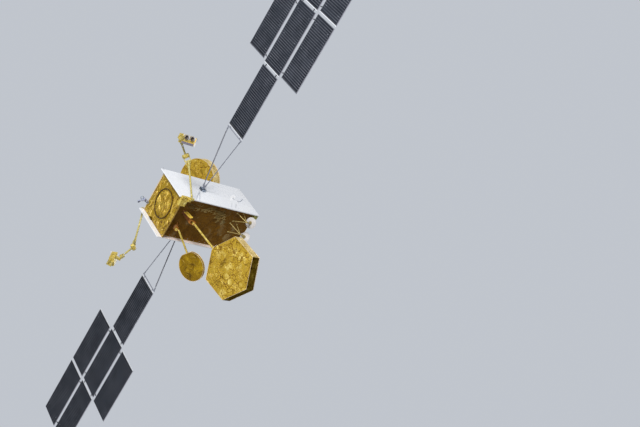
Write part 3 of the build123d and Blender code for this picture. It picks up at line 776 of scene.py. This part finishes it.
def make_buttons():
    """Domed blanket buttons in rows near the edges of each body face."""
    margin = 0.10
    spacing = 0.42
    dome = [(0.018, 0.0), (0.018, 0.006), (0.0126, 0.012), (0.0005, 0.0138)]
    buttons = []
    for face, low, high in body_faces:
        plane = body_plane(face)
        count = round((high - low) / spacing)
        for i in range(count + 1):
            x = low + margin + (high - low - 2 * margin) * i / count
            for y in (margin - wall_half, wall_half - margin):
                buttons.append((plane @ Matrix.Translation((x, y, 0.004)), dome, 12))
    gather("blanket_buttons", "bolt_steel", "bus", Parts.lathe, buttons, True)


def make_radiator_trim():
    """Joints of the radiators' mirror panels, and the films behind the edges that stand past the body."""
    margin = 0.01
    joint_width = 0.012
    joint_height = 0.0015
    for side, outward in (("north", 1), ("south", -1)):
        low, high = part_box(side + "_radiator")
        inner, outer = (low.y, high.y) if outward > 0 else (high.y, low.y)
        plane = facing((0, inner, 0), (0, -outward, 0), (0, 0, 1))
        for end in (-1, 1):
            way = "west" if end * outward > 0 else "east"
            for name, gap, bottom, top, look, pitch, rise, seed in (
                ("corner_blanket", 0.225, deck_top - 0.42, high.z - 0.012, "shade_foil", 0.06, 0.02, 11),
                ("inner_film", 0.02, low.z + 0.24, deck_top - 0.46, "film_cream", 0.10, 0.008, 15),
            ):
                across = sorted((end * (high.x - 0.012), end * (deck_half + gap)))
                outline = rectangle(bottom, top, *across)
                label = f"{side}_{name}_{way}"
                blanket(label, plane, outline, [], look, "bus", pitch, rise, seed + outward)
        face = facing((0, outer, 0), (0, outward, 0), (0, 0, 1))
        joints = [[(low.z + margin, x), (high.z - margin, x)] for x in (-0.455, 0.455)]
        joints += [[(z, low.x + margin), (z, high.x - margin)] for z in (1.10, 2.45, 3.80)]
        strips = [(face, line, joint_width, joint_height) for line in joints]
        gather(side + "_radiator_joints", "bar_white", "bus", Parts.strip, strips)


def make_ring_detail():
    """Bolts round the inside of the launch ring."""
    radius = 0.789
    count = 60
    bolts = []
    for x, y in circle(radius, count):
        plane = facing((x, y, 0.014), (-x, -y, 0), (0, 0, 1))
        bolts.append((plane, [(0.009, 0.0), (0.009, 0.006), (0.0005, 0.008)], 6))
    gather("ring_bolts", "bolt_steel", "bus", Parts.lathe, bolts)


# Wings
def half_turn(side):
    return Matrix() if side == "north" else Matrix.Rotation(math.pi, 4, "Z")


def panel_table(side):
    """A wing's panels: node, body, middle x and inner edge y on the north wing, bare lead-in, bar look."""
    pitch = 2 * panel_half + column_gap
    found = []
    for row in range(3):
        inner = panel_start + row * row_pitch
        lead = first_lead if row == 0 else other_lead
        found.append((f"panel_{side}_{row + 1}", f"wing_{side}", 0.0, inner, lead, "bar_white"))
    for name, row, across in (("a", 1, -1), ("b", 1, 1), ("c", 2, -1)):
        node, body = f"side_panel_{side}_{name}", f"side_{side}_{name}"
        inner = panel_start + row * row_pitch + side_shift
        bar = "edge_grey" if side == "north" and row == 1 else "bar_white"
        found.append((node, body, across * pitch, inner, other_lead, bar))
    return found


def make_cells(node, body, middle, inner, lead, rail_side, turn):
    """Solar cells with cropped corners in strings across the panel, and the bars between the strings."""
    first = inner + bar_width + lead
    pitch_y = (inner + panel_length - cell_margin - first) / cell_rows
    rail_inset = rail_width + rail_gap
    low_x = middle - panel_half + (rail_inset if rail_side < 0 else cell_margin)
    high_x = middle + panel_half - (rail_inset if rail_side > 0 else cell_margin)
    pitch_x = (high_x - low_x) / cell_columns
    level = wing_z - panel_skin / 2
    corners = cropped(pitch_x / 2 - cell_clear, (pitch_y - bar_gap) / 2, cell_crop)
    cells = Parts()
    bars = Parts()
    for row in range(cell_rows):
        y = first + (row + 0.5) * pitch_y
        for column in range(cell_columns):
            x = low_x + (column + 0.5) * pitch_x
            points = [turn @ Vector((x + cx, y + cy, level - cell_rise)) for cx, cy in corners]
            cells.add(points, [tuple(range(7, -1, -1))])
        edge = y + pitch_y / 2
        bar = rectangle(low_x, high_x, edge - bar_gap / 2, edge + bar_gap / 2)
        bars.add([turn @ Vector((x, y, level - busbar_rise)) for x, y in bar], [(3, 2, 1, 0)])
    cells.build(node + "_cells", "cell_dark", body)
    bars.build(node + "_busbars", "busbar", body)


def make_panel_trim(node, body, middle, inner, bar_look, rail_side, turn):
    """Hinge bar, edge rail and frames, hold-down bushes and the harness on the rear face."""
    outer = inner + panel_length
    cover = 0.004
    skin = panel_skin + 0.005
    long_middle = (inner + bar_width + outer) / 2
    long_side = panel_length - bar_width - cover
    bar_sides = (2 * panel_half + cover, bar_width + cover, bar_height + cover)
    rail_x = middle + rail_side * (panel_half - 0.007)
    frame_x = middle - rail_side * (panel_half - 0.004)
    for name, look, places in (
        ("hinge_bar", bar_look, [((middle, inner + bar_width / 2, wing_z), bar_sides, turn)]),
        ("edge_rail", "rail_lilac", [((rail_x, long_middle, wing_z), (rail_width, long_side, skin), turn)]),
        ("edge_frame", "edge_grey", [
            ((frame_x, long_middle, wing_z), (0.014, long_side, skin), turn),
            ((middle, outer - 0.0065, wing_z), (2 * panel_half - 0.02, 0.012, skin), turn),
        ]),
    ):
        gather(f"{node}_{name}", look, body, Parts.box, places)
    profile = [(0.020, 0.0), (0.020, 0.004), (0.014, 0.006), (0.008, 0.006), (0.008, 0.003), (0.0005, 0.003)]
    bushes = []
    for x in (-0.62, 0.62):
        for y in (0.45, 1.91, 3.37):
            for out in (1, -1):
                plane = turn @ facing((middle + x, inner + y, wing_z + out * panel_skin / 2), (0, 0, out))
                bushes.append((plane, profile, 20))
    gather(node + "_bushes", "edge_grey", body, Parts.lathe, bushes)
    rear = turn @ Matrix.Translation((middle, inner, wing_z + panel_skin / 2))
    harness = [(rear, [(x, 0.06), (x, panel_length - 0.03)], 0.05, 0.004) for x in (-0.35, 0.35)]
    harness += [(rear, [(-0.80, y), (0.80, y)], 0.03, 0.005) for y in (0.55, 1.40, 2.25, 3.10)]
    gather(node + "_harness", "tape", body, Parts.strip, harness)


def make_yoke_detail(side):
    """Collars at the ends of the yoke's rods, a cable along one, the drive's flange, bolts and connectors."""
    turn = half_turn(side)
    fork_x, fork_y = 0.09, 1.60
    bar_x, bar_y = 0.80, panel_start - 0.10
    collars = []
    for across in (-1, 1):
        start = turn @ Vector((across * fork_x, fork_y, wing_z))
        end = turn @ Vector((across * bar_x, bar_y, wing_z))
        along = (end - start).normalized()
        for place, length in ((start + along * 0.03, 0.14), (end - along * 0.20, 0.16)):
            sleeve = [(0.027, 0.0), (0.036, 0.004), (0.036, length - 0.02), (0.030, length), (0.0262, length)]
            collars.append((facing(place, along), sleeve))
    gather(f"yoke_collars_{side}", "edge_grey", f"wing_{side}", Parts.lathe, collars, True)
    line = [start.lerp(end, t / 12) + Vector((0, 0, -0.034 - 0.004 * (t % 2))) for t in range(1, 12)]
    gather(f"yoke_cable_{side}", "nozzle_dark", f"wing_{side}", Parts.tube, [(line, 0.008)], True)
    face = turn @ facing((0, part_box("drive_housings")[1].y, wing_z), (0, 1, 0), (1, 0, 0))
    drive = Parts()
    drive.lathe(face, [(0.075, 0.0), (0.112, 0.0), (0.112, 0.010), (0.104, 0.016), (0.075, 0.016)], 36)
    for x, y in circle(0.094, 12):
        place = face @ Matrix.Translation((x, y, 0.016))
        drive.lathe(place, [(0.007, 0), (0.007, 0.006), (0.0005, 0.007)], 6)
    for x, y, z, wide in (
        (-0.17, 0.05, -0.07, 0.08), (-0.17, -0.07, -0.07, 0.08), (0.17, 0.0, -0.07, 0.08),
        (0.0, -0.165, -0.085, 0.16),
    ):
        drive.box((x, y, z), (wide, 0.07, 0.09), face)
    drive.build(f"drive_detail_{side}", "blue_grey", "bus")


# Reflectors, as in the CAD: rear centre, normal, boom hinge, radius, depth, bowl rim and dip
boom_flat = 0.06
fold_inset = 0.08
reflector_columns = (
    "name", "centre", "normal", "hinge", "first", "tube",
    "radius", "depth", "sides", "rim", "dip", "rear", "wall",
)
reflector_table = [dict(zip(reflector_columns, row)) for row in (
    # Hex: its walls take the brown copy of the film, with shade painted in
    (
        "hex", (-5.400, 0.017, 1.721), (0.18, -0.07, 0.98), (-1.600, 0.090, 1.240), (-1, 0, 0), 0.057,
        1.668, 0.540, 6, 1.380, 0.300, "drum_foil", "brown_foil",
    ),
    (
        "round", (-2.862, -1.839, 1.568), (0.45, 0.12, 0.88), (-1.404, -0.587, 0.579), (-0.8, 0, 0.6), 0.052,
        0.805, 0.120, 0, 0.780, 0.085, "dull_foil", "dull_foil",
    ),
    # East: its walls take the tan copy of the film, with light painted in
    (
        "east", (3.238, 0.244, 3.611), (0.286, 0.003, 0.958), (1.500, 0.244, 4.000), (1, 0, -0.2), 0.052,
        1.320, 0.530, 0, 1.270, 0.280, "drum_foil", "tan_foil",
    ),
)]


def clipped(outline, limit):
    """The part of a closed outline with x up to a limit."""
    found = []
    for (x0, y0), (x1, y1) in walls_of(outline):
        if x0 <= limit:
            found.append((x0, y0))
        if (x0 - limit) * (x1 - limit) < 0:
            t = (limit - x0) / (x1 - x0)
            found.append((limit, y0 + (y1 - y0) * t))
    return found


def make_reflector(spec, seed):
    """Films, folds, rims and bowl of one reflector."""
    name = spec["name"]
    body = name + "_antenna"
    radius = spec["radius"]
    depth = spec["depth"]
    centre = Vector(spec["centre"])
    normal = Vector(spec["normal"]).normalized()
    across = Vector(spec["hinge"]) - centre
    across = (across - normal * across.dot(normal)).normalized()
    plane = facing(centre, normal, across)
    rear = facing(centre, -normal, across)
    front = facing(centre + normal * depth, normal, across)
    count = spec["sides"] or 72
    outline = clipped(circle(radius, count), radius - boom_flat)
    wall_look = spec["wall"]
    rear_look = spec["rear"]
    blanket(name + "_rear_blanket", rear, outline, [], rear_look, body, 0.17, 0.034, seed)
    inner = clipped(circle(radius - fold_inset, count), radius - fold_inset - boom_flat)
    folds = round(30 * radius * radius)
    fold_look = "fold_dull" if rear_look == "dull_foil" else "fold_gold"
    label = name + "_rear_folds"
    loose_folds(label, rear, inner, [], folds, (0.2, 2.0), fold_look, body, seed + 40, 0.048, 0.044)
    if radius - spec["rim"] > 0.03:
        rim_hole = [circle(spec["rim"], 64)]
        blanket(name + "_front_edge", front, outline, rim_hole, wall_look, body, 0.07, 0.008, seed + 1)
    if spec["sides"]:
        turn = plane.to_3x3()
        for k, ((x0, y0), (x1, y1)) in enumerate(walls_of(outline)):
            length = math.hypot(x1 - x0, y1 - y0)
            along = Vector((x1 - x0, y1 - y0, 0)) / length
            outward = Vector((along.y, -along.x, 0))
            wall = facing(plane @ Vector((x0, y0, 0)), turn @ outward, turn @ along)
            # The hex's two walls that face north get the tan copy with light painted in, the others the brown
            # copy with shade painted in
            side_look = "tan_foil" if k < 2 else wall_look
            label = f"{name}_side_blanket_{k + 1}"
            side = rectangle(0, length, 0, depth)
            blanket(label, wall, side, [], side_look, body, 0.07, 0.014, seed + 2 + k)
    else:
        gap = math.acos((radius - boom_flat) / radius)
        band = rectangle(gap * radius, (2 * math.pi - gap) * radius, 0, depth)
        wrapped = blanket(name + "_side_band", Matrix(), band, [], wall_look, body, 0.06, 0.004, seed + 2)
        for vertex in wrapped.data.vertices:
            turn = vertex.co.x / radius
            out = radius + vertex.co.z
            vertex.co = plane @ Vector((out * math.cos(turn), out * math.sin(turn), vertex.co.y))
    for level, label, thick in ((0.0, "rear", 0.010), (depth, "front", 0.016)):
        line = [plane @ Vector((x, y, level)) for x, y in outline + outline[:1]]
        gather(f"{name}_{label}_rim", "cream_edge", body, Parts.tube, [(line, thick)], True)
    bowl = (spec["rim"] ** 2 + spec["dip"] ** 2) / (2 * spec["dip"])
    steps = 14
    profile = []
    for i in range(steps + 1):
        r = max(0.001, spec["rim"] * (1 - i / steps))
        profile.append((r, bowl - spec["dip"] - math.sqrt(bowl ** 2 - r ** 2) + 0.002))
    gather(name + "_bowl", "bowl_film", body, Parts.lathe, [(front, profile, 72)], True)


# Arms and thruster heads, on the north side
arm_root = Vector((-1.707, 1.500, 0.261))
arm_tip = Vector((-0.342, 2.930, -0.135))
elbow = Vector((-0.059, 3.073, -0.261))
wrist = Vector((0.170, 3.670, -0.800))
head_place = Vector((-0.159, 4.034, -0.775))
head_lean = math.radians(20.0)
head_depth = 0.300
nozzle_places = (-0.205, 0.155)
nozzle_rise = 0.125
drive_face = Vector((-0.210, 4.107, -1.300))
south_head_turn = math.radians(-55.0)
arm_radius = 0.050


def head_spin(side):
    """Turn of a thruster head about its wrist post, which only the south one has."""
    if side == "north":
        return Matrix()
    return Matrix.Translation(wrist) @ Matrix.Rotation(south_head_turn, 4, "Y") @ Matrix.Translation(-wrist)


def make_boom_detail():
    """Collars on the reflector booms, and the plates, bars and lug at their roots; the two bright gold bars
    paint highlight streaks on the hex boom's root block.
    """
    for spec in reflector_table:
        first = Vector(spec["first"]).normalized()
        ring = facing(Vector(spec["hinge"]) + first * 0.09, first)
        profile = collar(spec["tube"], 0.014, 0.004, 0.035, 0.040)
        body = spec["name"] + "_antenna"
        gather(spec["name"] + "_boom_collar", "orange", body, Parts.lathe, [(ring, profile, 28)], True)
    low_edge = Vector((-1.110, 0.380, 0.565))
    high_edge = Vector((-1.452, 0.090, 1.005))
    run = high_edge - low_edge
    across = Vector((0, 1, 0))
    slope = Matrix((run.normalized(), across, run.cross(across).normalized())).transposed().to_4x4()
    face = Matrix.Translation(low_edge) @ slope
    plates = []
    for shift, width in ((0.058, 0.060), (-0.012, 0.056), (-0.066, 0.038)):
        plates.append(((run.length * 0.48, shift, 0.006), (run.length * 0.90, width, 0.016), face))
    gather("boom_root_plates", "deep_red", "bus", Parts.box, plates)
    # Two bright gold bars on the root block, a painted highlight: its two bright streaks
    bars = []
    for start, end, width in (
        ((-1.146, 0.410, 0.640), (-1.440, 0.262, 1.020), 0.080),
        ((-1.146, 0.440, 0.770), (-1.425, 0.290, 1.120), 0.100),
    ):
        run = Vector(end) - Vector(start)
        bars.append(((0, 0, run.length / 2), (width, 0.050, run.length), facing(start, run)))
    gather("boom_root_highlight_bars", "bracket_gold", "bus", Parts.box, bars)
    gather("boom_root_lug", "deep_red", "bus", Parts.box, [((-1.405, 0.225, 1.035), (0.060, 0.100, 0.150))])
    gather("round_boom_plates", "peach", "bus", Parts.box, [
        ((-1.215, -0.587, 0.511), (0.19, 0.20, 0.008)), ((-1.215, -0.476, 0.579), (0.19, 0.008, 0.11)),
    ])


def make_head_detail(side):
    """Thruster bells and their linings, the head's plates, bands, drive box frame and line hook; the white
    plate and gold band at the head's end are a bright trim that also paints a highlight along that edge.
    """
    turn = half_turn(side) @ head_spin(side)
    body = f"thruster_head_{side}"
    plane = facing(head_place, (-math.cos(head_lean), math.sin(head_lean), 0), (0, 0, 1))
    face = turn @ plane @ Matrix.Translation((0, 0, head_depth / 2))
    bell = [(0.073, 0.004), (0.114, 0.066), (0.118, 0.070), (0.118, 0.0745), (0.100, 0.0745)]
    lining = [(0.1005, 0.069), (0.0605, 0.012), (0.030, 0.012), (0.012, 0.030), (0.0005, 0.034)]
    for name, look, profile in (("bells", "lilac_grey", bell), ("linings", "nozzle_dark", lining)):
        turned = [(face @ Matrix.Translation((x, nozzle_rise, 0)), profile, 40) for x in nozzle_places]
        gather(f"thruster_{name}_{side}", look, body, Parts.lathe, turned, True)
    for name, look, places in (
        ("white_plates", "plate_white", (
            ((-0.3585, nozzle_rise, 0.006), (0.067, 0.21, 0.012)),
            ((-0.025, nozzle_rise, 0.006), (0.120, 0.21, 0.012)),
            ((0.3335, nozzle_rise, 0.006), (0.117, 0.21, 0.012)),
            # The plate at x 0.408 closes the head's end: a bright trim that is also a painted highlight along
            # that edge
            ((0.0, 0.236, 0.004), (0.78, 0.018, 0.016)), ((0.408, -0.14, -0.02), (0.016, 0.20, 0.26)),
        )),
        ("bands", "bracket_gold", (
            ((0.0, 0.0, 0.008), (0.79, 0.026, 0.022)), ((0.0, -0.105, 0.008), (0.79, 0.022, 0.020)),
            # The band at x 0.408 is the yellow part of the same bright trim and painted highlight
            ((0.408, 0.10, -0.05), (0.016, 0.24, 0.20)),
        )),
        ("lower_plates", "lilac_grey" if side == "north" else "pale_foil", (
            ((-0.01, -0.178, 0.006), (0.76, 0.118, 0.014)), ((0.0, -0.2475, -0.15), (0.74, 0.010, 0.24)),
        )),
    ):
        boxes = [(place, sides, face) for place, sides in places]
        gather(f"head_{name}_{side}", look, body, Parts.box, boxes)
    box = turn @ facing(drive_face, (0, 0, -1), (1, 0, 0))
    bars = []
    for reach, span in ((0.134, 0.30), (0.085, 0.19)):
        for way in (reach, -reach):
            bars.append(((way, 0, 0.004), (0.022, span, 0.012), box))
            bars.append(((0, way, 0.004), (span, 0.022, 0.012), box))
    gather(f"drive_box_frame_{side}", "arm_film", body, Parts.box, bars)
    bend = [(0.40, 0.19), (0.47, 0.21), (0.54, 0.18), (0.575, 0.11), (0.56, 0.05)]
    line = [face @ Vector((x, y, -0.06)) for x, y in bend]
    gather(f"head_line_{side}", "silver", body, Parts.tube, [(line, 0.016, 10)], True)


def make_arm_detail(side):
    """Domed caps on the elbow's pin, bands on its drum, stays beside it and collars on the arm's tubes."""
    turn = half_turn(side)
    upper, fore = f"upper_arm_{side}", f"forearm_{side}"
    axis = (elbow - arm_tip).cross(wrist - elbow).normalized()
    back = (arm_root - arm_tip).normalized()
    dome = [(0.108, 0.0), (0.104, 0.014), (0.080, 0.030), (0.040, 0.038), (0.0005, 0.040)]
    caps = [(turn @ facing(elbow + axis * way * 0.160, axis * way), dome, 32) for way in (1, -1)]
    ring = collar(arm_radius, 0.012, 0.003, 0.050, 0.053)
    for start, way in ((arm_root, -back), (arm_tip, back)):
        caps.append((turn @ facing(start + way * 0.16, way), ring, 28))
    gather(f"upper_arm_caps_{side}", "head_film", upper, Parts.lathe, caps, True)
    stays = []
    for way in (1, -1):
        end = elbow + (arm_tip - elbow) * 0.55 + axis * way * 0.168
        stays.append(([turn @ end, turn @ (arm_tip + back * 0.34 + axis * way * 0.040)], 0.022, 10))
    gather(f"elbow_stays_{side}", "arm_film", upper, Parts.tube, stays, True)
    band = [(0.116, -0.016), (0.121, -0.012), (0.121, 0.012), (0.116, 0.016)]
    bands = [(turn @ facing(elbow + axis * place, axis), band, 40) for place in (-0.08, 0.0, 0.08)]
    gather(f"elbow_bands_{side}", "bracket_gold", fore, Parts.lathe, bands, True)
    way = (elbow - wrist).normalized()
    ring = collar(arm_radius, 0.013, 0.004, 0.050, 0.054)
    collars = [(turn @ facing(wrist + way * 0.19, way), ring, 28)]
    gather(f"forearm_collar_{side}", "silver", fore, Parts.lathe, collars, True)


def make_dish_detail():
    """Rim rings and gold rear cones of the two steerable dishes."""
    start_gap = 0.066
    end_gap = 0.078
    for body, hub, middle in (
        ("dish_upper", Vector((-1.728, 0.971, 4.344)), Vector((-1.568, 0.896, 4.704))),
        ("dish_lower", Vector((-1.728, 0.153, 4.400)), Vector((-1.646, -0.033, 4.793))),
    ):
        run = middle - hub
        along = run.normalized()
        line = [facing(middle, along) @ Vector((x, y, 0.0)) for x, y in circle(0.313, 64)]
        gather(body + "_rim", "dish_white", body, Parts.tube, [(line + line[:1], 0.008)], True)
        end = run.length - start_gap - end_gap
        cone = [(0.0475, 0.0), (0.056, 0.004), (0.060, 0.05), (0.096, end - 0.02), (0.100, end), (0.047, end)]
        start = facing(hub + along * start_gap, along)
        gather(body + "_rear_cone", "strut_gold", body, Parts.lathe, [(start, cone, 32)], True)


def make_radiator_marks():
    """Cables, bright patch and faint lines on the north radiator."""
    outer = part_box("north_radiator")[1].y
    cables = []
    for radius, bends in (
        (0.012, ((-0.308, 4.18), (-0.265, 4.3), (-0.19, 4.41), (-0.1, 4.5), (0.01, 4.6), (0.14, 4.738))),
        (0.009, ((-0.32, 1.48), (-0.78, 1.16), (-1.34, 0.78))),
        (0.009, ((-0.44, 1.44), (-0.88, 1.26), (-1.34, 1.02))),
    ):
        cables.append(([Vector((x, outer + radius, z)) for x, z in bends], radius))
    gather("radiator_cable", "blue_grey", "bus", Parts.tube, cables, True)
    face = facing((0, outer, 0), (0, 1, 0), (0, 0, 1))
    patch = [(3.60, -0.40), (3.82, 0.09), (4.24, 0.43), (4.30, 0.20), (3.93, -0.18)]
    count = len(patch)
    points = [face @ Vector((z, x, level)) for level in (0.0, 0.003) for z, x in patch]
    top = [tuple(range(count, 2 * count))]
    piece("radiator_patch", points, top + ring_faces(2, count), "patch_white", "bus")
    gather("radiator_lines", "edge_grey", "bus", Parts.strip, [
        (face, [(3.585, -1.147), (3.885, -0.598)], 0.020, 0.002),
        (face, [(3.300, -1.147), (3.600, -0.598)], 0.014, 0.002),
    ])


def make_stage():
    level = camera_place.z - floor_drop
    points = [(x, y, level) for x, y in rectangle(-floor_half, floor_half, -floor_half, floor_half)]
    data = bpy.data.meshes.new("floor")
    data.from_pydata(points, [], [(0, 1, 2, 3)])
    floor = bpy.data.objects.new("floor", data)
    bpy.context.scene.collection.objects.link(floor)
    look = brushed("floor_paint", floor_colour, floor_colour, 0.8, 0.0, None, 0.5)
    data.materials.append(look.material)


node_looks = {
    "launch_ring": "ring_metal", "core_block": "core_grey", "aft_deck": "gold_foil",
    # The west wall's node gets the same darker copy, with shade painted in
    "earth_deck": "gold_foil", "west_wall": "shaded_wall_film", "east_wall": "gold_foil",
    "north_radiator": "mirror_tiles", "south_radiator": "mirror_tiles", "drive_housings": "drive_grey",
    "boom_brackets": "orange", "arm_housings": "pale_foil", "dish_tripods": "strut_gold",
    "aft_antenna": "blue_grey", "feed_horns": "horn_metal", "corner_blocks": "shade_foil",
    "radiator_fittings": "silver", "hex_boom": "boom_film", "round_boom": "boom_film",
    "east_boom": "boom_film", "hex_reflector": "drum_foil", "round_reflector": "dull_foil",
    "east_reflector": "drum_foil", "dish_upper": "dish_white", "dish_lower": "dish_white",
}
for wing_side in ("north", "south"):
    node_looks[f"yoke_{wing_side}"] = "yoke_grey"
    node_looks[f"upper_arm_{wing_side}"] = "arm_film"
    node_looks[f"forearm_{wing_side}"] = "arm_film"
    node_looks[f"thruster_head_{wing_side}"] = "head_film"

make_camera()
make_world()
make_stage()
make_lights()

make_body_blankets()
make_wall_folds()
make_tape()
make_antenna_detail()
make_aft_shadow()
make_buttons()
make_radiator_trim()
make_ring_detail()
for wing_side, west_side in (("north", -1), ("south", 1)):
    wing_turn = half_turn(wing_side)
    for *panel, panel_lead, panel_bar in panel_table(wing_side):
        node_looks[panel[0]] = "carbon"
        make_cells(*panel, panel_lead, west_side, wing_turn)
        make_panel_trim(*panel, panel_bar, west_side, wing_turn)
    make_yoke_detail(wing_side)
    make_arm_detail(wing_side)
    make_head_detail(wing_side)
for number, reflector in enumerate(reflector_table):
    make_reflector(reflector, 31 + 20 * number)
make_boom_detail()
make_dish_detail()
make_radiator_marks()

for cad_node, cad_look in node_looks.items():
    dress(cad_node, cad_look)

bpy.context.scene.view_settings.view_transform = "Standard"
